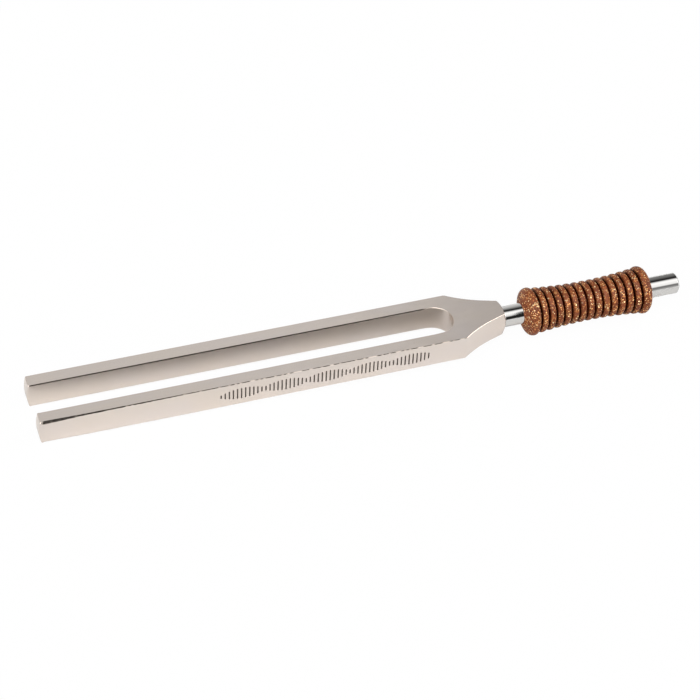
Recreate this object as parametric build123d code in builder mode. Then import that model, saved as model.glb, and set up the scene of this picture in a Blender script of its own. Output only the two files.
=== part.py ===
"""Tuning fork: a slotted bar with two prongs and a yoke, a round stem, and a ribbed grip sleeve.

Millimetres.  +X runs along the fork from the prong tips to the foot of the stem, +Y runs across the
prongs and +Z is up.  The origin is halfway along the fork, midway between the prongs, at the height of
the surface that the grip flanges rest on.
"""
import os
from math import radians, tan

from build123d import *

os.makedirs("parts", exist_ok=True)

# Stations along the fork, each measured from the prong tips
prong_length = 121.0  # to the corner where the shoulder begins
slot_depth = 120.2  # to the bottom of the slot
fork_length = 135.4  # to the end face of the neck
grip_start = 141.1  # to the front face of the grip
overall_length = 189.7  # to the foot of the stem

# Fork body
fork_width = 19.0  # over both prongs
fork_height = 7.5
prong_thickness = 4.1
tip_crown = 0.5  # how far the middle of a tip stands out past its edges
shoulder_radius = 37.0  # hollow curve from the full width down to the neck
neck_width = 6.2
neck_face_radius = 3.1  # flat ring that the stem seats on
neck_turned_radius = 6.0  # beyond the corners of the neck
neck_turned_angle = 23.0  # cone at the end of the neck, from square across
edge_round = 0.3

# Stem
stem_radius = 3.0
grip_seat_radius = 2.8  # recess under the grip, which keeps it from creeping along
foot_chamfer = 0.6
spigot_radius = 2.0
spigot_length = 9.5
spigot_chamfer = 0.4
relief_radius = 1.6  # groove between the thread and the shoulder
relief_width = 0.8

# Tapped hole in the neck
hole_depth = 11.0
hole_lead_in = 0.3
drill_point_angle = 59.0  # half angle of the cone that the drill leaves

# Grip
rib_count = 13
rib_width = 1.75
groove_width = 0.65
groove_radius = 4.5
rib_radius_middle = 5.75
rib_radius_end = 6.5
rib_round = 0.8
flange_width = 3.9
flange_radius = 6.9
flange_slope = 1.7  # how far the outer face of a flange leans in from the stem to the rim
flange_outer_round = 1.6
flange_inner_round = 1.0

# Places that follow from the sizes
axis_height = flange_radius
tip_x = -overall_length / 2
crown_x = tip_x + tip_crown
shoulder_x = tip_x + prong_length
slot_end_x = tip_x + slot_depth
neck_x = tip_x + fork_length
foot_x = tip_x + overall_length
rib_pitch = rib_width + groove_width
grip_length = 2 * flange_width + rib_count * rib_pitch + groove_width
grip_x = tip_x + grip_start
grip_end_x = grip_x + grip_length
grip_middle_x = (grip_x + grip_end_x) / 2
fork_axis = Axis((0, 0, axis_height), (1, 0, 0))
side_plane = Plane((0, 0, axis_height), x_dir=(1, 0, 0), z_dir=(0, -1, 0))
bottom_plane = Plane.XY.offset(axis_height - fork_height / 2)


# Fork body: plan outline extruded, then crowned at the tips and turned at the neck
outer_y = fork_width / 2
inner_y = outer_y - prong_thickness
slot_start_x = slot_end_x - inner_y
neck_setback = (neck_turned_radius - neck_face_radius) * tan(radians(neck_turned_angle))
hole_end_x = neck_x - hole_depth
drill_point_x = hole_end_x - spigot_radius / tan(radians(drill_point_angle))

with BuildPart() as fork_body:
    with BuildSketch(bottom_plane):
        with BuildLine():
            Polyline((tip_x, inner_y), (tip_x, outer_y), (shoulder_x, outer_y))
            RadiusArc((shoulder_x, outer_y), (neck_x, neck_width / 2), -shoulder_radius)
            Polyline((neck_x, neck_width / 2), (neck_x, 0), (slot_end_x, 0))
            CenterArc((slot_start_x, 0), inner_y, 0, 90)
            Line((slot_start_x, inner_y), (tip_x, inner_y))
        make_face()
        mirror(about=Plane.XZ)
    extrude(amount=fork_height)

    with BuildSketch(side_plane):
        with BuildLine():
            top = fork_height / 2
            ThreePointArc((crown_x, -top), (tip_x, 0), (crown_x, top))
            Polyline((crown_x, top), (neck_x, top), (neck_x, -top), (crown_x, -top))
        make_face()
    extrude(amount=fork_width, both=True, mode=Mode.INTERSECT)

    with BuildSketch(side_plane):
        with BuildLine():
            Polyline(
                (neck_x, neck_face_radius),
                (neck_x, neck_turned_radius),
                (neck_x - neck_setback, neck_turned_radius),
                close=True,
            )
        make_face()
    revolve(axis=fork_axis, mode=Mode.SUBTRACT)

    flat_faces = fork_body.faces().filter_by(Plane.XY)
    fillet(flat_faces.edges(), edge_round)

    with BuildSketch(side_plane):
        with BuildLine():
            Polyline(
                (neck_x, 0),
                (neck_x, spigot_radius + hole_lead_in),
                (neck_x - hole_lead_in, spigot_radius),
                (hole_end_x, spigot_radius),
                (drill_point_x, 0),
                close=True,
            )
        make_face()
    revolve(axis=fork_axis, mode=Mode.SUBTRACT)

fork_body.part.label = "fork_body"
export_step(fork_body.part, "parts/fork_body.step")


# Stem: turned rod with a spigot that goes into the neck and a seat for the grip
spigot_end_x = neck_x - spigot_length

with BuildPart() as stem:
    with BuildSketch(side_plane):
        with BuildLine():
            Polyline(
                (spigot_end_x, 0),
                (spigot_end_x, spigot_radius - spigot_chamfer),
                (spigot_end_x + spigot_chamfer, spigot_radius),
                (neck_x - relief_width, spigot_radius),
                (neck_x - relief_width, relief_radius),
                (neck_x, relief_radius),
                (neck_x, stem_radius),
                (grip_x, stem_radius),
                (grip_x, grip_seat_radius),
                (grip_end_x, grip_seat_radius),
                (grip_end_x, stem_radius),
                (foot_x - foot_chamfer, stem_radius),
                (foot_x, stem_radius - foot_chamfer),
                (foot_x, 0),
                close=True,
            )
        make_face()
    revolve(axis=fork_axis)

stem.part.label = "stem"
export_step(stem.part, "parts/stem.step")


# Grip: one sleeve with a flange at each end and waisted ribs between them


def rib_radius(place):
    """Outer radius of a rib, for a place from -1 at the first rib to 1 at the last."""
    return rib_radius_middle + (rib_radius_end - rib_radius_middle) * place**2


def ring_section(middle_x, width, radius):
    """Add the half section of a ring that reaches from the bore out to a radius."""
    with Locations((middle_x, (grip_seat_radius + radius) / 2)):
        Rectangle(width, radius - grip_seat_radius)


def flange_section(face_x, inward):
    """Add the half section of an end flange, from its outer face towards the ribs."""
    Polygon(
        (face_x, grip_seat_radius),
        (face_x, stem_radius),
        (face_x + inward * flange_slope, flange_radius),
        (face_x + inward * flange_width, flange_radius),
        (face_x + inward * flange_width, grip_seat_radius),
        align=None,
    )


def on_rib_crest(corner):
    """Whether a corner of the section lies between the smallest and the largest crest of a rib."""
    return (groove_radius + rib_radius_middle) / 2 < corner.Y < (rib_radius_end + flange_radius) / 2


def rim_corners(section):
    """Corners on the rims of the flanges, from the front of the grip to its end."""
    return section.vertices().group_by(Axis.Y)[-1].sort_by(Axis.X)


with BuildPart() as grip:
    with BuildSketch(side_plane) as section:
        ring_section(grip_middle_x, grip_length - 2 * flange_width, groove_radius)
        flange_section(grip_x, 1)
        flange_section(grip_end_x, -1)
        for index in range(rib_count):
            place = 2 * index / (rib_count - 1) - 1
            rib_x = grip_middle_x + place * rib_pitch * (rib_count - 1) / 2
            ring_section(rib_x, rib_width, rib_radius(place))
        fillet(section.vertices().filter_by(on_rib_crest), rib_round)
        fillet(rim_corners(section)[1:3], flange_inner_round)
        fillet(rim_corners(section)[0], flange_outer_round)
        fillet(rim_corners(section)[-1], flange_outer_round)
    revolve(axis=fork_axis)

grip.part.label = "grip"
export_step(grip.part, "parts/grip.step")
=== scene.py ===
from math import atan2, ceil, cos, degrees, hypot, pi, radians, sin, sqrt, tan

import bpy
from mathutils import Matrix, Vector, noise


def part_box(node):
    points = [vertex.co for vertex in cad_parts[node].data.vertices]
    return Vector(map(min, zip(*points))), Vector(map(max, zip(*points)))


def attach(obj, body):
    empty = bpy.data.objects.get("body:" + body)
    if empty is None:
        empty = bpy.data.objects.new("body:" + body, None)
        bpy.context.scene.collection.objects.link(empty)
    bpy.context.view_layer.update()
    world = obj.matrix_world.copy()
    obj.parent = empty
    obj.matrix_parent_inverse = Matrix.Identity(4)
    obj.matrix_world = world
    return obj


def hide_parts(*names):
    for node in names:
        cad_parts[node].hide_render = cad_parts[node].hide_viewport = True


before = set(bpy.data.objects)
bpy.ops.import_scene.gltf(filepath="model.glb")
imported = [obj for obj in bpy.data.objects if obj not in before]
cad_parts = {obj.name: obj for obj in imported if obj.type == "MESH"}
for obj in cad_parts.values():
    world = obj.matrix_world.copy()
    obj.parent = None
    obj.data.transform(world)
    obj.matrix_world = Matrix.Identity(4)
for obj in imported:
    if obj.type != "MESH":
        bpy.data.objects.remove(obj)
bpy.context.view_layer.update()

MM = 0.001
TURN = 2 * pi

# The frame's own places
fork_low, fork_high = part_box("fork_body")
stem_low, stem_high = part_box("stem")
grip_low, grip_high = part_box("grip")
AXIS_Z = (grip_low.z + grip_high.z) / 2
TIP_X = fork_low.x
NECK_X = fork_high.x
FOOT_X = stem_high.x
SPIGOT_X = stem_low.x
GRIP_X = grip_low.x
GRIP_END_X = grip_high.x

# Fork body
HALF_HEIGHT = (fork_high.z - fork_low.z) / 2
OUTER_Y = fork_high.y
PRONG = 4.1 * MM
INNER_Y = OUTER_Y - PRONG
SHOULDER_X = TIP_X + 121.0 * MM
SLOT_END_X = TIP_X + 120.2 * MM
SHOULDER_RADIUS = 37.0 * MM
SHOULDER_ROUND = 0.7 * MM
NECK_Y = 3.1 * MM
NECK_SEAT = 3.1 * MM
NECK_CONE = radians(23.0)
TIP_CROWN = 0.5 * MM
CORNER = 0.4 * MM
NECK_CORNER = 0.25 * MM
STATION = 0.35 * MM
CORNER_STATION = 0.4 * MM
END_STATION = 0.25 * MM
WALL_LEVELS = 18
CORNER_STEPS = 5
BEND_STEPS = 8
HOLLOW_STEPS = 44
NECK_CORNER_STEPS = 4
NECK_CORNER_START = 80
TIP_FADE = 4 * MM
NECK_FADE = 3 * MM
NECK_SOFT = 0.06 * MM
SHARP_PAST = 35
HOLE_END_X = NECK_X - 11.0 * MM
HOLE_LEAD_IN = 0.3 * MM
DRILL_POINT = radians(59.0)
HOLE_SEGMENTS = 48

# Broken edges: widths across the chamfer, and leans from upright in degrees
EDGE_SOFT = 0.02 * MM
EDGE_WIDTH = 0.10 * MM
EDGE_WIDTH_LEAST = 0.08 * MM
EDGE_WIDTH_INNER = 0.34 * MM
EDGE_LEAN = 45.0
EDGE_LEAN_INNER = 33.0
EDGE_LEAN_FILED = 31.0
FILED_WIDTH = 0.58 * MM
FILED_TAPER = 0.35 * MM
FILED_TIP_EXTRA = 0.42 * MM
FILE_STROKE = 0.75 * MM
FROM_TIP = 0.8 * MM
FROM_SLOT_END = 2 * MM

# Engraved marks on the outside of one prong, measured from the middle of the bar's height
MARK_X = TIP_X + 50.0 * MM
MARK_PITCH = 1.15 * MM
MARK_COUNT = 53
MARK_BEAT = 10.6
MARK_SWELL = 0.8
MARK_HALF_WIDTH = 0.21 * MM
MARK_LOW = 0.42 * MM
MARK_HIGH = 1.70 * MM
MARK_DEPTH = 0.09 * MM
MARK_CLEARANCE = 0.4 * MM
MARK_END_STEPS = 8

# Stem
STEM_RADIUS = 3.0 * MM
SEAT_RADIUS = 2.8 * MM
FOOT_CHAMFER = 0.6 * MM
SPIGOT_RADIUS = 2.0 * MM
RELIEF_RADIUS = 1.6 * MM
RELIEF_WIDTH = 0.8 * MM
SPIGOT_CHAMFER = 0.4 * MM
STEM_BREAK = 0.12 * MM
SHOULDER_BREAK = 0.08 * MM
SPIGOT_BREAK = 0.05 * MM
SEAT_BREAK = 0.03 * MM
STEM_SEGMENTS = 160

# Grip
RIB_COUNT = 13
RIB_WIDTH = 1.75 * MM
GROOVE_WIDTH = 0.65 * MM
GROOVE_RADIUS = 4.5 * MM
RIB_RADIUS_MIDDLE = 5.75 * MM
RIB_RADIUS_END = 6.5 * MM
RIB_ROUND = 0.8 * MM
GROOVE_ROUND = 0.15 * MM
# Painted shade between the ribs: how far under a rib's crest it starts, and where it is full
GROOVE_SHADE_START = 0.27 * MM
GROOVE_SHADE_END = 1.10 * MM
FLANGE_WIDTH = 3.9 * MM
FLANGE_RADIUS = grip_high.y
FLANGE_SLOPE = 1.7 * MM
FLANGE_OUTER_ROUND = 1.6 * MM
FLANGE_INNER_ROUND = 1.0 * MM
LIP_ROUND = 0.02 * MM
MOULDING_SWELL = 0.035 * MM
GRIP_SEGMENTS = 144
FLAKE_LAYERS = ((1900, 0.55), (3000, 0.45))
FLAKE_TINTS = [
    (0.00, (0.050, 0.009, 0.003)), (0.25, (0.22, 0.055, 0.016)), (0.50, (0.50, 0.180, 0.056)),
    (0.78, (0.86, 0.46, 0.17)), (1.00, (1.0, 0.80, 0.46)),
]

# Table
FLANGE_REST = 2.6 * MM
TABLE_REACH = 0.42
TABLE_GLOW = 0.97

# Bands of light in the studio: (angle over the top from the front horizon in degrees, level)
OVERHEAD_RISE = [(29, 0.0), (42, 0.74), (56, 0.90), (66, 1.0)]
OVERHEAD_FALL = [(70, 1.0), (78, 0.90), (85, 0.57), (92, 0.12), (100, 0.0)]
FRONT_BAND = [(16, 0.0), (28, 1.0), (60, 1.0), (72, 0.0)]
SCREEN_BAND = [
    (0, 0.0), (100, 0.0), (111, 0.08), (123, 0.34), (136, 0.62), (151, 0.77), (170, 0.94), (180, 1.0),
]
ROOM_BAND = [(-180, 0.95), (-6, 0.95), (0, 0.45), (6, 0.06), (12, 0.02), (36, 0.02), (90, 0.0)]
FILL_BAND = [(-8, 0.0), (0, 0.90), (12, 0.95), (22, 0.55), (34, 0.65), (42, 0.60), (54, 0.0)]

# Changes of light along the fork: (from, to, value before, value after), with from and to as the x of a
# direction. Values that move an edge are parts of a full turn.
FAR_LEFT = (-0.6, -0.2, 1.0, 0.0)
LEFT_EDGE_SHIFT = -20 / 360
RIGHT_EDGE_SHIFT = (0.34, 0.40, 0.0, 4 / 360)
OVERHEAD_LEVEL = (0.05, 0.20, 1.9, 1.6)
FRONT_LEVEL = (-0.10, 0.06, 4.0, 0.0)
SCREEN_LEVEL = (0.285, 0.40, 1.0, 0.25)
SCREEN_LIFT = (0.17, 0.28, 1.21, 1.38)
SCREEN_AT_LEFT = (0.0, 1.0, 1.0, 0.5)
FILL_LEVEL = (0.35, 0.39, 0.0, 0.42)

# Black card over the stem: the stretch over which its edge climbs, between two angles in degrees, the
# stretch over which the edge sinks again, and how soft the edge is
CARD_CLIMB = (0.3322, 0.3360)
CARD_ANGLES = (6, 60)
CARD_SINK = (0.345, 0.385, 0.0, 60 / 360)
CARD_SOFT = (-12 / 360, 14 / 360, 0.0, 1.0)

# Softbox at the right: its direction, the cosines at its edge and at its core, and its level
RIGHT_SOFTBOX = ((0.85, -0.20, 0.40), 0.88, 0.96, 2.4)
SEEN_WHITE = 1.05

# Camera
AIM = Vector((-5.28 * MM, -1.18 * MM, AXIS_Z))
DISTANCE = 609.23 * MM
AZIMUTH = radians(-20.51)
ELEVATION = radians(41.79)
ROLL = radians(2.784)
LENS = 112.87
SENSOR_WIDTH = 36.0


# ---------------------------------------------------------------- outlines

def held(value):
    """The value, held between 0 and 1."""
    return max(0.0, min(1.0, value))


def arc(centre, radius, start, end, count):
    """Points of an arc from one angle to another, in degrees, both ends included."""
    points = []
    for index in range(count + 1):
        angle = radians(start + (end - start) * index / count)
        points.append((centre[0] + radius * cos(angle), centre[1] + radius * sin(angle)))
    return points


def run(start, end, step):
    """Points of a straight run, without its first point and with its last, about a step apart."""
    count = max(1, ceil(hypot(end[0] - start[0], end[1] - start[1]) / step))
    return [
        (start[0] + (end[0] - start[0]) * i / count, start[1] + (end[1] - start[1]) * i / count)
        for i in range(1, count + 1)
    ]


def rounded(corners, steps):
    """A path through corners (x, y, radius), each rounded by an arc of its radius."""
    path = []
    for index, (x, y, radius) in enumerate(corners):
        here = Vector((x, y))
        if radius == 0 or index in (0, len(corners) - 1):
            path.append((x, y))
            continue
        before = (Vector(corners[index - 1][:2]) - here).normalized()
        after = (Vector(corners[index + 1][:2]) - here).normalized()
        half = before.angle(after) / 2
        reach = radius / tan(half)
        centre = here + (before + after).normalized() * (radius / sin(half))
        first = here + before * reach - centre
        last = here + after * reach - centre
        sweep = first.angle_signed(last)
        for step in range(steps + 1):
            turned = first.copy()
            turned.rotate(Matrix.Rotation(-sweep * step / steps, 2))
            path.append(tuple(centre + turned))
    return path


def supported(path, gap, longest):
    """The same path with points close to the ends of its long runs, and none further apart than longest."""
    made = [path[0]]
    for start, end in zip(path, path[1:]):
        length = hypot(end[0] - start[0], end[1] - start[1])
        if length > 4 * gap:
            near = (
                start[0] + (end[0] - start[0]) * gap / length,
                start[1] + (end[1] - start[1]) * gap / length,
            )
            far = (
                end[0] + (start[0] - end[0]) * gap / length,
                end[1] + (start[1] - end[1]) * gap / length,
            )
            made.append(near)
            made += run(near, far, longest)
        made.append(end)
    return made


# ---------------------------------------------------------------- meshes

def new_piece(name, points, faces, materials, smooth_angle=40):
    """A mesh object with smooth faces and edges that are sharp past an angle in degrees."""
    mesh = bpy.data.meshes.new(name)
    mesh.from_pydata(points, [], faces)
    for material in materials:
        mesh.materials.append(material)
    mesh.polygons.foreach_set("use_smooth", [True] * len(mesh.polygons))
    mesh.set_sharp_from_angle(angle=radians(smooth_angle))
    mesh.update()
    piece = bpy.data.objects.new(name, mesh)
    bpy.context.scene.collection.objects.link(piece)
    return piece


def stand_for(piece, node_name):
    """The piece rides on the only body and replaces its CAD node."""
    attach(piece, "root")
    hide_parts(node_name)


def lathe(path, segments, wobble=None):
    """Points and faces of a path (x, radius) turned about the fork's axis. Ends on the axis are closed."""
    points, rings = [], []
    for x, radius in path:
        if radius < 1e-9:
            rings.append([len(points)])
            points.append((x, 0.0, AXIS_Z))
            continue
        rings.append(list(range(len(points), len(points) + segments)))
        for index in range(segments):
            angle = TURN * index / segments
            out = Vector((0, cos(angle), sin(angle)))
            swell = wobble(x, angle, radius) if wobble else 0.0
            points.append((x, out.y * (radius + swell), AXIS_Z + out.z * (radius + swell)))
    faces = []
    for left, right in zip(rings, rings[1:]):
        for index in range(segments):
            after = (index + 1) % segments
            if len(left) == 1:
                faces.append((left[0], right[after], right[index]))
            elif len(right) == 1:
                faces.append((left[index], left[after], right[0]))
            else:
                faces.append((left[index], left[after], right[after], right[index]))
    return points, faces


# ---------------------------------------------------------------- node helper

def add(tree, kind, inputs=None, **settings):
    """A shader node with its settings and inputs. An input is a value or another node's output."""
    made = tree.nodes.new(kind)
    for name, value in settings.items():
        setattr(made, name, value)
    for key, value in (inputs or {}).items():
        if isinstance(value, bpy.types.NodeSocket):
            tree.links.new(value, made.inputs[key])
        else:
            made.inputs[key].default_value = value
    return made


def maths(tree, operation, first, second=0.0, third=0.0):
    """The result of a math node."""
    inputs = {0: first, 1: second, 2: third}
    return add(tree, "ShaderNodeMath", inputs, operation=operation).outputs[0]


def remap(tree, value, low, high, to_low, to_high, kind="LINEAR"):
    """A value carried from one range to another, and held at its ends."""
    inputs = {"Value": value, "From Min": low, "From Max": high, "To Min": to_low, "To Max": to_high}
    return add(tree, "ShaderNodeMapRange", inputs, interpolation_type=kind).outputs[0]


def mix_colour(tree, share, first, second):
    """One colour mixed into another."""
    made = add(tree, "ShaderNodeMix", {"Factor": share}, data_type="RGBA")
    for key, value in ((6, first), (7, second)):
        if isinstance(value, bpy.types.NodeSocket):
            tree.links.new(value, made.inputs[key])
        else:
            made.inputs[key].default_value = (*value, 1)
    return made.outputs[2]


def mix_vector(tree, share, first, second):
    """One vector mixed into another."""
    return add(tree, "ShaderNodeMix", {"Factor": share, 4: first, 5: second}, data_type="VECTOR").outputs[1]


def ramp(tree, value, stops):
    """A grey level or a colour that runs through stops (value, level or colour)."""
    made = add(tree, "ShaderNodeValToRGB", {0: value})
    elements = made.color_ramp.elements
    while len(elements) > 1:
        elements.remove(elements[-1])
    for number, (position, shade) in enumerate(stops):
        element = elements.new(position) if number else elements[0]
        element.position = position
        element.color = (*shade, 1) if isinstance(shade, tuple) else (shade, shade, shade, 1)
    return made.outputs[0]


def noise_at(tree, place, scale, stretch=(1, 1, 1), detail=3.0, roughness=0.5):
    """Noise with features about one over scale metres across, stretched along the axes."""
    mapped = add(tree, "ShaderNodeMapping", {"Vector": place, "Scale": stretch}).outputs[0]
    inputs = {"Vector": mapped, "Scale": scale, "Detail": detail, "Roughness": roughness}
    return add(tree, "ShaderNodeTexNoise", inputs).outputs[0]


def new_material(name):
    """A material with an empty tree, and the place on the object as a vector."""
    material = bpy.data.materials.new(name)
    material.use_nodes = True
    material.node_tree.nodes.clear()
    tree = material.node_tree
    place = add(tree, "ShaderNodeTexCoord").outputs["Object"]
    return material, tree, place


def close_material(tree, shader):
    """The shader becomes the surface."""
    add(tree, "ShaderNodeOutputMaterial", {"Surface": shader.outputs[0]})


# ---------------------------------------------------------------- materials

def satin_nickel():
    """Nickel plate over a belt-ground bar: faint lines along the fork, and edges polished by handling."""
    material, tree, place = new_material("satin_nickel")
    edge = add(tree, "ShaderNodeAttribute", attribute_name="edge").outputs["Fac"]
    grain = noise_at(tree, place, 9000, (0.012, 1, 1), detail=4, roughness=0.65)
    cloud = noise_at(tree, place, 70, (1, 2, 2), detail=3)
    patch = noise_at(tree, place, 420, (0.4, 1, 1), detail=4, roughness=0.6)
    tone = maths(tree, "MULTIPLY_ADD", remap(tree, patch, 0.3, 0.7, -1, 1), 0.008, 1.0)
    tone = maths(tree, "MULTIPLY_ADD", remap(tree, grain, 0.3, 0.7, -1, 1), 0.012, tone)
    warmer = remap(tree, cloud, 0.35, 0.65, 0, 1)
    plate = mix_colour(tree, warmer, (0.722, 0.645, 0.583), (0.712, 0.642, 0.600))
    body = add(tree, "ShaderNodeVectorMath", {0: plate, "Scale": tone}, operation="SCALE").outputs[0]
    colour = mix_colour(tree, maths(tree, "MULTIPLY", edge, 0.6), body, (0.78, 0.67, 0.58))
    rough = remap(tree, patch, 0.3, 0.7, 0.20, 0.26)
    rough = maths(tree, "MULTIPLY_ADD", remap(tree, grain, 0.3, 0.7, -1, 1), 0.02, rough)
    rough = remap(tree, edge, 0.0, 1.0, rough, 0.15)
    bump = add(tree, "ShaderNodeBump", {"Height": grain, "Strength": 0.08, "Distance": 4e-6}).outputs[0]
    shader = add(tree, "ShaderNodeBsdfPrincipled",
                 {"Base Color": colour, "Metallic": 1.0, "Roughness": rough, "Normal": bump})
    close_material(tree, shader)
    return material


def mirror_chrome():
    """Polished chrome: nearly a mirror, with faint polishing lines around the rod."""
    material, tree, place = new_material("polished_chrome")
    lines = noise_at(tree, place, 7000, (1, 0.02, 0.02), detail=3, roughness=0.6)
    smudge = noise_at(tree, place, 350, detail=4, roughness=0.6)
    rough = remap(tree, smudge, 0.35, 0.7, 0.012, 0.035)
    colour = mix_colour(tree, remap(tree, lines, 0.3, 0.7, 0, 1), (0.61, 0.60, 0.585), (0.65, 0.64, 0.625))
    bump = add(tree, "ShaderNodeBump", {"Height": lines, "Strength": 0.06, "Distance": 2e-6}).outputs[0]
    shader = add(tree, "ShaderNodeBsdfPrincipled",
                 {"Base Color": colour, "Metallic": 1.0, "Roughness": rough, "Normal": bump})
    close_material(tree, shader)
    return material


def etched_metal():
    """Floor of the engraved marks: burnt dark, matt and slightly uneven."""
    material, tree, place = new_material("etched_metal")
    uneven = noise_at(tree, place, 6000, detail=3)
    colour = mix_colour(tree, remap(tree, uneven, 0.3, 0.7, 0, 1), (0.050, 0.040, 0.032), (0.11, 0.09, 0.075))
    bump = add(tree, "ShaderNodeBump", {"Height": uneven, "Strength": 0.5, "Distance": 2e-5}).outputs[0]
    shader = add(tree, "ShaderNodeBsdfPrincipled",
                 {"Base Color": colour, "Metallic": 0.35, "Roughness": 0.6, "Normal": bump})
    close_material(tree, shader)
    return material


def glitter_flakes(tree, place, scale, share):
    """One layer of flakes: how much flake there is at a point, and three random numbers for each flake."""
    cells = add(tree, "ShaderNodeTexVoronoi", {"Vector": place, "Scale": scale, "Randomness": 1.0},
                feature="F1")
    pick = add(tree, "ShaderNodeSeparateColor", {"Color": cells.outputs["Color"]})
    chosen = maths(tree, "LESS_THAN", pick.outputs[0], share)
    inside = remap(tree, cells.outputs["Distance"], 0.36, 0.46, 1.0, 0.0)
    return maths(tree, "MULTIPLY", chosen, inside), pick, cells.outputs["Color"]


def glitter_elastomer():
    """Brown elastomer filled with copper and gold flakes at all angles, and painted shade between the ribs.
    """
    material, tree, place = new_material("glitter_elastomer")
    # Painted shade between the ribs, read from the mesh: 0 on a crest, 1 deep in a groove. It darkens the
    # colour and takes away flakes and shine there
    groove_shade = add(tree, "ShaderNodeAttribute", attribute_name="groove_shade").outputs["Fac"]
    outside = maths(tree, "SUBTRACT", 1.0, groove_shade)
    surface = add(tree, "ShaderNodeNewGeometry").outputs["Normal"]
    fine = noise_at(tree, place, 2600, detail=4, roughness=0.6)
    cloud = noise_at(tree, place, 260, detail=3)
    paler = remap(tree, cloud, 0.3, 0.7, 0, 1)
    colour = mix_colour(tree, paler, (0.100, 0.022, 0.006), (0.180, 0.048, 0.013))
    metal = 0.0
    facing = add(tree, "ShaderNodeBump", {"Height": fine, "Strength": 0.35, "Distance": 4e-5}).outputs[0]
    for scale, share in FLAKE_LAYERS:
        amount, pick, random_vector = glitter_flakes(tree, place, scale, share)
        # Painted shade: no flakes deep between the ribs
        amount = maths(tree, "MULTIPLY", amount, outside)
        tint = ramp(tree, pick.outputs[1], FLAKE_TINTS)
        centred = add(tree, "ShaderNodeVectorMath", {0: random_vector, 1: (0.5, 0.5, 0.5)},
                      operation="SUBTRACT").outputs[0]
        leaned = add(tree, "ShaderNodeVectorMath", {0: centred, 1: (0.9, 0.9, 0.9), 2: surface},
                     operation="MULTIPLY_ADD").outputs[0]
        colour = mix_colour(tree, amount, colour, tint)
        metal = maths(tree, "MAXIMUM", metal, maths(tree, "MULTIPLY", amount, 0.6))
        facing = mix_vector(tree, amount, facing, leaned)
    # Painted shade: deep between the ribs the colour goes nearly black
    colour = mix_colour(tree, maths(tree, "MULTIPLY", groove_shade, 0.97), colour, (0.018, 0.001, 0.0004))
    facing = add(tree, "ShaderNodeVectorMath", {0: facing}, operation="NORMALIZE").outputs[0]
    # Painted shade: the specular shine fades out deep between the ribs
    shader = add(tree, "ShaderNodeBsdfPrincipled",
                 {"Base Color": colour, "Metallic": metal, "Roughness": 0.52, "Normal": facing,
                  "Specular IOR Level": maths(tree, "MULTIPLY", outside, 0.25)})
    close_material(tree, shader)
    return material


def lit_table():
    """White table lit through from below, so that the camera sees next to no shadow on it.

    The fork's reflections show the same table as plain white paper, with the fork's own soft shadow.
    """
    material, tree, place = new_material("lit_table")
    speck = noise_at(tree, place, 30, detail=2)
    white = mix_colour(tree, speck, (0.62, 0.62, 0.615), (0.66, 0.66, 0.655))
    paper = add(tree, "ShaderNodeBsdfPrincipled",
                {"Base Color": white, "Roughness": 0.9, "Specular IOR Level": 0.0})
    glow = add(tree, "ShaderNodeEmission", {"Color": (1.0, 1.0, 1.0, 1.0), "Strength": 1.0})
    seen = add(tree, "ShaderNodeLightPath").outputs["Is Camera Ray"]
    shader = add(tree, "ShaderNodeMixShader",
                 {0: maths(tree, "MULTIPLY", seen, TABLE_GLOW), 1: paper.outputs[0], 2: glow.outputs[0]})
    close_material(tree, shader)
    return material


# ---------------------------------------------------------------- fork body

def shoulder_arc():
    """Centre of the hollow shoulder curve, and its angles at the wide end and at the neck, in degrees."""
    wide, narrow = Vector((SHOULDER_X, OUTER_Y)), Vector((NECK_X, NECK_Y))
    half = (narrow - wide) / 2
    across = Vector((-half.y, half.x)).normalized()
    centre = wide + half + across * sqrt(SHOULDER_RADIUS**2 - half.length_squared)
    angles = [degrees(atan2(p.y - centre.y, p.x - centre.x)) for p in (wide, narrow)]
    return centre, angles[0], angles[1]


def outer_path(slot_start):
    """Outside of one prong and half the yoke, from the tip to the middle of the neck's end.

    Returns the path, the kind of edge at each point, and how many points lie beside the slot's straight side.
    """
    centre, start, end = shoulder_arc()
    tip = arc((TIP_X + CORNER, OUTER_Y - CORNER), CORNER, 180, 90, CORNER_STEPS)
    beside_slot = tip + run(tip[-1], (slot_start, OUTER_Y), STATION)
    entry = (SHOULDER_X - SHOULDER_ROUND / 2, OUTER_Y)
    first_turn = start + degrees(SHOULDER_ROUND / 2 / SHOULDER_RADIUS)
    hollow = arc(centre, SHOULDER_RADIUS, first_turn, end, HOLLOW_STEPS)
    bend = []
    for index in range(1, BEND_STEPS):
        share = index / BEND_STEPS
        bend.append(tuple(
            (1 - share) ** 2 * a + 2 * share * (1 - share) * b + share**2 * c
            for a, b, c in zip(entry, (SHOULDER_X, OUTER_Y), hollow[0])
        ))
    sides = beside_slot + run(beside_slot[-1], entry, STATION) + bend + hollow[:-1]
    corner_centre = (NECK_X - NECK_CORNER, NECK_Y - NECK_CORNER)
    corner = arc(corner_centre, NECK_CORNER, NECK_CORNER_START, 0, NECK_CORNER_STEPS)
    end_face = corner + run(corner[-1], (NECK_X, 0.0), END_STATION)
    kinds = ["outer"] * len(sides) + ["end"] * len(end_face)
    return sides + end_face, kinds, len(beside_slot)


def inner_path(slot_start, beside_slot, count):
    """Inside of one prong, from the tip to the bottom of the slot, with as many points as the outside."""
    tip = arc((TIP_X + CORNER, INNER_Y + CORNER), CORNER, 180, 270, CORNER_STEPS)
    path = tip + run(tip[-1], (slot_start, INNER_Y), STATION)
    return path + arc((slot_start, 0.0), INNER_Y, 90, 0, count - beside_slot)[1:]


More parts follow.
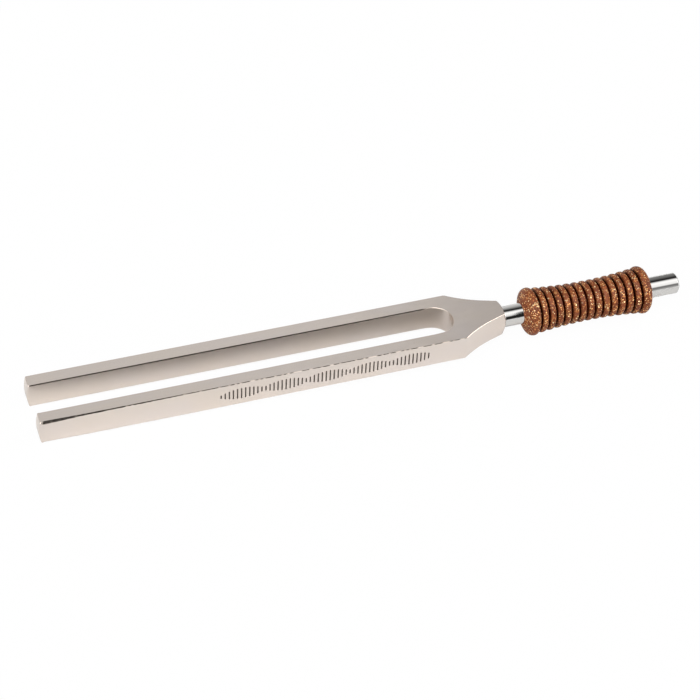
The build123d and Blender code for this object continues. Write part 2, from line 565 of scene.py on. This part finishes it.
def fork_outline():
    """Closed plan outline of the fork, counter-clockwise: its points, their kinds of edge, and their names.

    A name is (path, side, number), such as ("outer", -1, 12). Points of the same number face each other
    across a prong, and the tip's points run from the inner path to the outer one.
    """
    slot_start = SLOT_END_X - INNER_Y
    outer, kinds, beside_slot = outer_path(slot_start)
    inner = inner_path(slot_start, beside_slot, len(outer))
    tip = run(inner[0], outer[0], CORNER_STATION)[:-1]
    last = len(outer) - 1
    loop = []
    for side in (1, -1):
        half = [(p, "tip", ("tip", side, k + 1)) for k, p in enumerate(tip)]
        half += [(p, kinds[k], ("outer", side, k)) for k, p in enumerate(outer[:last])]
        loop.append(half)
    slot = [[(p, "inner", ("inner", side, k)) for k, p in enumerate(inner[:last])] for side in (1, -1)]
    neck = [(outer[last], kinds[last], ("outer", 0, last))]
    bottom = [(inner[last], "inner", ("inner", 0, last))]
    clockwise = loop[0] + neck + loop[1][::-1] + slot[1] + bottom + slot[0][::-1]
    points = [(x, y if name[1] >= 0 else -y) for (x, y), _, name in clockwise[::-1]]
    return points, [kind for _, kind, _ in clockwise[::-1]], [name for _, _, name in clockwise[::-1]]


def edge_legs(x, y, kind):
    """Legs of the broken edge, on the flat face and down the side. The one over the marks was filed by hand.

    Its file marks are wide near the tip, and turn into a thin row of nicks towards the shoulder.
    """
    along = (x - TIP_X) / (SHOULDER_X - TIP_X)
    slow = noise.noise(Vector((x / (9 * MM), y / (5 * MM), 8.1)))
    stroke = noise.cell(Vector((x / FILE_STROKE, 0.5, 3.5)))
    straight = held((SLOT_END_X - INNER_Y - x) / FROM_SLOT_END)
    from_tip = held((x - TIP_X) / FROM_TIP)
    width, lean = EDGE_WIDTH, EDGE_LEAN
    if kind == "inner":
        width = EDGE_WIDTH_LEAST + (EDGE_WIDTH_INNER - EDGE_WIDTH_LEAST) * from_tip * straight
        lean += (EDGE_LEAN_INNER - EDGE_LEAN) * straight + 1.5 * slow
    elif kind == "outer" and along < 1 and y < 0:
        # Light strokes leave narrow and steeper nicks, and there are more of them towards the shoulder
        light = 1.0 if stroke > 1.1 - 1.9 * min(along, 0.6) else 0.0
        width = FILED_WIDTH - FILED_TAPER * held(along / 0.35) + FILED_TIP_EXTRA * held(1 - along / 0.10)
        width *= (1 + min(0.22, 0.03 + along) * stroke) * (1 - 0.35 * light) * (0.30 + 0.70 * from_tip)
        lean = EDGE_LEAN_FILED + (8.0 + 8.0 * held(along / 0.5)) * light + 1.5 * slow
    elif kind in ("tip", "end"):
        width = EDGE_WIDTH_LEAST
    width *= 1 + 0.08 * slow
    return width * sin(radians(lean)), width * cos(radians(lean))


def edge_profile(on_flat, down_side):
    """Places (inset, depth) on the section of an edge, from the side wall up to the flat face."""
    soft = EDGE_SOFT
    hold = min(0.25, 2.5 * soft / hypot(on_flat, down_side))
    return [
        (0.0, down_side + 6 * soft),
        (0.0, down_side + soft),
        (0.2 * soft, down_side - 0.4 * soft),
        (hold * on_flat, (1 - hold) * down_side),
        ((1 - hold) * on_flat, hold * down_side),
        (on_flat - 0.4 * soft, 0.2 * soft),
        (on_flat + soft, 0.0),
        (on_flat + 2 * soft, 0.0),
    ]


def tip_shift(x, height):
    """How far the crowned tip sets a point back, for its height from the middle of the bar."""
    crown_radius = (HALF_HEIGHT**2 + TIP_CROWN**2) / (2 * TIP_CROWN)
    fade = held(1 - (x - TIP_X - CORNER) / TIP_FADE)
    return (crown_radius - sqrt(crown_radius**2 - height**2)) * fade


def neck_shift(x, y, height):
    """How far the turned cone sets a point back, for its place on the neck."""
    beyond = hypot(y, height) - NECK_SEAT
    fade = held(1 - (NECK_X - NECK_CORNER - x) / NECK_FADE)
    return -tan(NECK_CONE) * (beyond + sqrt(beyond**2 + NECK_SOFT**2)) / 2 * fade


def outward_normals(outline):
    """Outward direction in plan at each point of a counter-clockwise outline."""
    made = []
    for index, here in enumerate(outline):
        before = Vector(here) - Vector(outline[index - 1])
        after = Vector(outline[(index + 1) % len(outline)]) - Vector(here)
        way = before.normalized() + after.normalized()
        made.append(Vector((way.y, -way.x)).normalized())
    return made


def flat_face(points, places, last, columns, side_up):
    """Faces of a flat side of the bar: strips across each prong that fan out round the slot's end.

    The new points between the two paths are added to points. places gives the number of a named point.
    """
    faces = []
    middle_row = None
    for side in (1, -1):
        rows = []
        for number in range(last + 1):
            at = side if number < last else 0
            start, end = places[("inner", at, number)], places[("outer", at, number)]
            if number == 0:
                between = [places[("tip", side, k)] for k in range(1, columns)]
            elif number == last and middle_row:
                between = middle_row
            else:
                between = []
                for column in range(1, columns):
                    between.append(len(points))
                    points.append(tuple(Vector(points[start]).lerp(Vector(points[end]), column / columns)))
            if number == last:
                middle_row = between
            rows.append([start, *between, end])
        for before, after in zip(rows, rows[1:]):
            for column in range(columns):
                face = (before[column], after[column], after[column + 1], before[column + 1])
                faces.append(face if side * side_up > 0 else face[::-1])
    return faces


def fork_mesh(materials):
    """The bar as rings stacked through its height, closed by its two flat faces."""
    outline, kinds, names = fork_outline()
    normals = outward_normals(outline)
    sections = [edge_profile(*edge_legs(x, y, kind)) for (x, y), kind in zip(outline, kinds)]
    edge_steps = len(sections[0])
    levels = [(-1, step) for step in reversed(range(edge_steps))]
    levels += [(0, step) for step in range(1, WALL_LEVELS)]
    levels += [(1, step) for step in range(edge_steps)]
    points, wear, faces = [], [], []
    for side, step in levels:
        for (x, y), out, section in zip(outline, normals, sections):
            inset, depth = section[step] if side else (0.0, 0.0)
            height = side * (HALF_HEIGHT - depth)
            if not side:
                height = (HALF_HEIGHT - section[0][1]) * (2 * step / WALL_LEVELS - 1)
            px, py = x - out.x * inset, y - out.y * inset
            px += tip_shift(px, height) + neck_shift(px, py, height)
            points.append((px, py, AXIS_Z + height))
            wear.append(1.0 if side and 1 <= step <= edge_steps - 2 else 0.0)
    count = len(outline)
    for level in range(len(levels) - 1):
        low, high = level * count, (level + 1) * count
        for index in range(count):
            after = (index + 1) % count
            faces.append((low + index, low + after, high + after, high + index))
    last = max(number for _, _, number in names)
    columns = 1 + max(number for path, _, number in names if path == "tip")
    for side_up, first in ((-1, 0), (1, (len(levels) - 1) * count)):
        places = {name: first + index for index, name in enumerate(names)}
        faces += flat_face(points, places, last, columns, side_up)
    wear += [0.0] * (len(points) - len(wear))
    piece = new_piece("fork_bar", points, faces, materials, smooth_angle=75)
    layer = piece.data.attributes.new("edge", "FLOAT", "POINT")
    layer.data.foreach_set("value", wear)
    return piece


def mark_bars():
    """Cutter for the engraved marks: upright bars with round ends, whose heights swell as beats do."""
    points, faces = [], []
    for index in range(MARK_COUNT):
        swell = abs(sin(pi * index / MARK_BEAT)) ** MARK_SWELL
        reach = MARK_LOW + (MARK_HIGH - MARK_LOW) * swell
        middle = MARK_X + index * MARK_PITCH
        loop = arc((middle, reach), MARK_HALF_WIDTH, 0, 180, MARK_END_STEPS)
        loop += arc((middle, -reach), MARK_HALF_WIDTH, 180, 360, MARK_END_STEPS)
        first, size = len(points), len(loop)
        for y in (-OUTER_Y - MARK_CLEARANCE, -OUTER_Y + MARK_DEPTH):
            points += [(x, y, AXIS_Z + z) for x, z in loop]
        faces.append(tuple(first + i for i in range(size)))
        faces.append(tuple(first + size + i for i in range(size))[::-1])
        for i in range(size):
            j = (i + 1) % size
            faces.append((first + j, first + i, first + size + i, first + size + j))
    return points, faces


def stem_hole():
    """Cutter for the blind hole in the neck that the stem's spigot goes into."""
    path = [
        (HOLE_END_X - SPIGOT_RADIUS / tan(DRILL_POINT), 0.0),
        (HOLE_END_X, SPIGOT_RADIUS),
        (NECK_X - HOLE_LEAD_IN, SPIGOT_RADIUS),
        (NECK_X + HOLE_LEAD_IN, SPIGOT_RADIUS + 2 * HOLE_LEAD_IN),
        (NECK_X + HOLE_LEAD_IN, 0.0),
    ]
    return lathe(path, HOLE_SEGMENTS)


def cut(piece, cutter):
    """The piece loses the cutter's volume, and the cut faces keep the cutter's material."""
    change = piece.modifiers.new("cut", "BOOLEAN")
    change.operation = "DIFFERENCE"
    change.solver = "EXACT"
    change.material_mode = "TRANSFER"
    change.object = cutter
    with bpy.context.temp_override(object=piece, active_object=piece):
        bpy.ops.object.modifier_apply(modifier=change.name)
    bpy.data.objects.remove(cutter)


def make_fork(nickel, etched):
    """Fork body with its engraved marks and the hole for the stem."""
    piece = fork_mesh([nickel, etched])
    bar_points, bar_faces = mark_bars()
    hole_points, hole_faces = stem_hole()
    shift = len(bar_points)
    hole_faces = [tuple(shift + index for index in face) for face in hole_faces]
    cutter = new_piece("cutter", bar_points + hole_points, bar_faces + hole_faces, [nickel, etched])
    for index in range(len(bar_faces)):
        cutter.data.polygons[index].material_index = 1
    cut(piece, cutter)
    piece.data.set_sharp_from_angle(angle=radians(SHARP_PAST))
    stand_for(piece, "fork_body")


# ---------------------------------------------------------------- stem

def make_stem(chrome):
    """Turned rod: spigot, relief groove, shoulder, grip seat and chamfered foot."""
    corners = [
        (SPIGOT_X, 0.0, 0),
        (SPIGOT_X, SPIGOT_RADIUS - SPIGOT_CHAMFER, SPIGOT_BREAK),
        (SPIGOT_X + SPIGOT_CHAMFER, SPIGOT_RADIUS, SPIGOT_BREAK),
        (NECK_X - RELIEF_WIDTH, SPIGOT_RADIUS, SPIGOT_BREAK),
        (NECK_X - RELIEF_WIDTH, RELIEF_RADIUS, SPIGOT_BREAK),
        (NECK_X, RELIEF_RADIUS, SPIGOT_BREAK),
        (NECK_X, STEM_RADIUS, SHOULDER_BREAK),
        (GRIP_X, STEM_RADIUS, SEAT_BREAK),
        (GRIP_X, SEAT_RADIUS, SEAT_BREAK),
        (GRIP_END_X, SEAT_RADIUS, SEAT_BREAK),
        (GRIP_END_X, STEM_RADIUS, SEAT_BREAK),
        (FOOT_X - FOOT_CHAMFER, STEM_RADIUS, STEM_BREAK),
        (FOOT_X, STEM_RADIUS - FOOT_CHAMFER, STEM_BREAK),
        (FOOT_X, 0.0, 0),
    ]
    points, faces = lathe(supported(rounded(corners, 4), 0.06 * MM, 3 * MM), STEM_SEGMENTS)
    piece = new_piece("stem_rod", points, faces, [chrome], smooth_angle=60)
    stand_for(piece, "stem")


# ---------------------------------------------------------------- grip

def rib_crest(x):
    """Radius of the ribs' crests at a place along the grip: the row of ribs is hollow in the middle."""
    place = (x - (GRIP_X + GRIP_END_X) / 2) / ((RIB_WIDTH + GROOVE_WIDTH) * (RIB_COUNT - 1) / 2)
    return RIB_RADIUS_MIDDLE + (RIB_RADIUS_END - RIB_RADIUS_MIDDLE) * place**2


def rib_corners():
    """Corners (x, radius, round) of the ribs, from the first to the last."""
    corners = []
    for index in range(RIB_COUNT):
        from_middle = index - (RIB_COUNT - 1) / 2
        x = (GRIP_X + GRIP_END_X) / 2 + from_middle * (RIB_WIDTH + GROOVE_WIDTH)
        low, high = x - RIB_WIDTH / 2, x + RIB_WIDTH / 2
        corners += [
            (low, GROOVE_RADIUS, GROOVE_ROUND),
            (low, rib_crest(x), RIB_ROUND),
            (high, rib_crest(x), RIB_ROUND),
            (high, GROOVE_RADIUS, GROOVE_ROUND),
        ]
    return corners


def groove_shade_at(x, radius):
    """Painted shade on the ribbed stretch, by depth between the ribs: 0 at a crest to 1 in a groove."""
    if not GRIP_X + FLANGE_WIDTH - 0.1 * MM < x < GRIP_END_X - FLANGE_WIDTH + 0.1 * MM:
        return 0.0
    return held((rib_crest(x) - radius - GROOVE_SHADE_START) / (GROOVE_SHADE_END - GROOVE_SHADE_START))


def soft_moulding(x, angle, radius):
    """Small unevenness of a soft moulding."""
    place = Vector((x / (2.2 * MM), 3 * cos(angle), 3 * sin(angle)))
    return MOULDING_SWELL * noise.noise(place) if radius > STEM_RADIUS + 0.3 * MM else 0.0


def make_grip(elastomer):
    """Ribbed sleeve with a thick flange at each end."""
    front, back = GRIP_X + FLANGE_WIDTH, GRIP_END_X - FLANGE_WIDTH
    corners = [
        (GRIP_X, SEAT_RADIUS, 0),
        (GRIP_X, STEM_RADIUS, LIP_ROUND),
        (GRIP_X + FLANGE_SLOPE, FLANGE_RADIUS, FLANGE_OUTER_ROUND),
        (front, FLANGE_RADIUS, FLANGE_INNER_ROUND),
        (front, GROOVE_RADIUS, GROOVE_ROUND),
        *rib_corners(),
        (back, GROOVE_RADIUS, GROOVE_ROUND),
        (back, FLANGE_RADIUS, FLANGE_INNER_ROUND),
        (GRIP_END_X - FLANGE_SLOPE, FLANGE_RADIUS, FLANGE_OUTER_ROUND),
        (GRIP_END_X, STEM_RADIUS, LIP_ROUND),
        (GRIP_END_X, SEAT_RADIUS, 0),
    ]
    path = supported(rounded(corners, 6), 0.08 * MM, 0.6 * MM)
    path += run(path[-1], path[0], 6 * MM)
    points, faces = lathe(path, GRIP_SEGMENTS, soft_moulding)
    piece = new_piece("grip_sleeve", points, faces, [elastomer], smooth_angle=60)
    # Painted shade between the ribs, kept on the mesh for the material
    groove_shade = [groove_shade_at(x, hypot(y, z - AXIS_Z)) for x, y, z in points]
    piece.data.attributes.new("groove_shade", "FLOAT", "POINT").data.foreach_set("value", groove_shade)
    stand_for(piece, "grip")


# ---------------------------------------------------------------- stage, light and camera

def make_table(material):
    """The fork lies on its front flange and on the lower edges of its tips, so the table leans a little."""
    rest_x, tip_x = GRIP_X + FLANGE_REST, TIP_X + TIP_CROWN
    rest_z, tip_z = grip_low.z, fork_low.z
    slope = (tip_z - rest_z) / (tip_x - rest_x)
    signs = [(-1, -1), (1, -1), (1, 1), (-1, 1)]
    corners = [(TABLE_REACH * x, TABLE_REACH * y) for x, y in signs]
    points = [(x, y, rest_z + (x - rest_x) * slope) for x, y in corners]
    mesh = bpy.data.meshes.new("table")
    mesh.from_pydata(points, [], [(0, 1, 2, 3)])
    mesh.materials.append(material)
    table = bpy.data.objects.new("table", mesh)
    bpy.context.scene.collection.objects.link(table)


def around(angle):
    """Place on a full turn, from 0 to 1, of an angle in degrees over the top from the front horizon."""
    return (angle + 180) / 360


def band(tree, turn, stops):
    """Level of a band of light at a place on the turn, from its stops (angle in degrees, level)."""
    return ramp(tree, turn, [(around(angle), level) for angle, level in stops])


def softbox(tree, direction, towards, cos_edge, cos_core, level):
    """Light of a round softbox in one direction."""
    facing = add(tree, "ShaderNodeVectorMath", {0: direction, 1: Vector(towards).normalized()},
                 operation="DOT_PRODUCT").outputs["Value"]
    return remap(tree, facing, cos_edge, cos_core, 0.0, level, "SMOOTHSTEP")


def make_studio():
    """Light tent: softboxes over the front and at its left, a pale screen behind and a dark room in front.

    Directions are told by their angle over the top, from 0 at the front horizon to 180 at the back one,
    and by how far they point along the fork. A black card cuts into the softbox over the stem.
    """
    world = bpy.data.worlds.new("studio")
    bpy.context.scene.world = world
    world.use_nodes = True
    tree = world.node_tree
    tree.nodes.clear()
    direction = add(tree, "ShaderNodeTexCoord").outputs["Generated"]
    split = add(tree, "ShaderNodeSeparateXYZ", {0: direction})
    along = split.outputs[0]
    towards_front = maths(tree, "MULTIPLY", split.outputs[1], -1.0)
    angle = maths(tree, "ARCTAN2", split.outputs[2], towards_front)
    turn = maths(tree, "MULTIPLY_ADD", angle, 1 / TURN, 0.5)
    far_left = remap(tree, along, *FAR_LEFT)
    top_edge = maths(tree, "MULTIPLY_ADD", far_left, LEFT_EDGE_SHIFT, turn)
    top_edge = maths(tree, "SUBTRACT", top_edge, remap(tree, along, *RIGHT_EDGE_SHIFT))
    card_edge = remap(tree, along, *CARD_CLIMB, *(around(angle) for angle in CARD_ANGLES))
    card_edge = maths(tree, "SUBTRACT", card_edge, remap(tree, along, *CARD_SINK))
    past_card = maths(tree, "SUBTRACT", turn, card_edge)
    past_card = remap(tree, past_card, *CARD_SOFT, "SMOOTHSTEP")
    overhead = maths(tree, "MULTIPLY", band(tree, turn, OVERHEAD_RISE), band(tree, top_edge, OVERHEAD_FALL))
    overhead = maths(tree, "MULTIPLY", overhead, past_card)
    overhead_level = remap(tree, along, *OVERHEAD_LEVEL)
    front = band(tree, turn, FRONT_BAND)
    front_level = remap(tree, along, *FRONT_LEVEL, "SMOOTHSTEP")
    screen = band(tree, turn, SCREEN_BAND)
    screen_level = remap(tree, along, *SCREEN_LEVEL, "SMOOTHSTEP")
    screen_level = maths(tree, "MULTIPLY", screen_level, remap(tree, along, *SCREEN_LIFT))
    screen_level = maths(tree, "MULTIPLY", screen_level, remap(tree, far_left, *SCREEN_AT_LEFT))
    room = band(tree, turn, ROOM_BAND)
    fill_level = remap(tree, along, *FILL_LEVEL)
    right_fill = maths(tree, "MULTIPLY", band(tree, turn, FILL_BAND), fill_level)
    light = maths(tree, "MULTIPLY_ADD", overhead, overhead_level, maths(tree, "ADD", room, right_fill))
    light = maths(tree, "MULTIPLY_ADD", screen, screen_level, light)
    light = maths(tree, "MULTIPLY_ADD", front, front_level, light)
    right = softbox(tree, direction, *RIGHT_SOFTBOX)
    light = maths(tree, "ADD", light, right)
    seen = add(tree, "ShaderNodeLightPath").outputs["Is Camera Ray"]
    studio = add(tree, "ShaderNodeBackground", {"Color": (1.0, 1.0, 1.0, 1.0), "Strength": light})
    white = add(tree, "ShaderNodeBackground", {"Color": (1.0, 1.0, 1.0, 1.0), "Strength": SEEN_WHITE})
    mixed = add(tree, "ShaderNodeMixShader", {0: seen, 1: studio.outputs[0], 2: white.outputs[0]})
    add(tree, "ShaderNodeOutputWorld", {"Surface": mixed.outputs[0]})


def make_camera():
    """Camera in front of the fork and a little to its left, looking down at it."""
    back = Vector((sin(AZIMUTH) * cos(ELEVATION), -cos(AZIMUTH) * cos(ELEVATION), sin(ELEVATION)))
    data = bpy.data.cameras.new("camera")
    data.lens = LENS
    data.sensor_width = SENSOR_WIDTH
    data.clip_start, data.clip_end = 0.01, 10.0
    camera = bpy.data.objects.new("camera", data)
    camera.location = AIM + back * DISTANCE
    level = back.to_track_quat("Z", "Y").to_matrix()
    camera.rotation_euler = (level @ Matrix.Rotation(ROLL, 3, "Z")).to_euler()
    bpy.context.scene.collection.objects.link(camera)
    bpy.context.scene.camera = camera


make_camera()
make_studio()
make_table(lit_table())
make_fork(satin_nickel(), etched_metal())
make_stem(mirror_chrome())
make_grip(glitter_elastomer())

bpy.context.scene.view_settings.view_transform = "Standard"
bpy.context.scene.view_settings.look = "None"
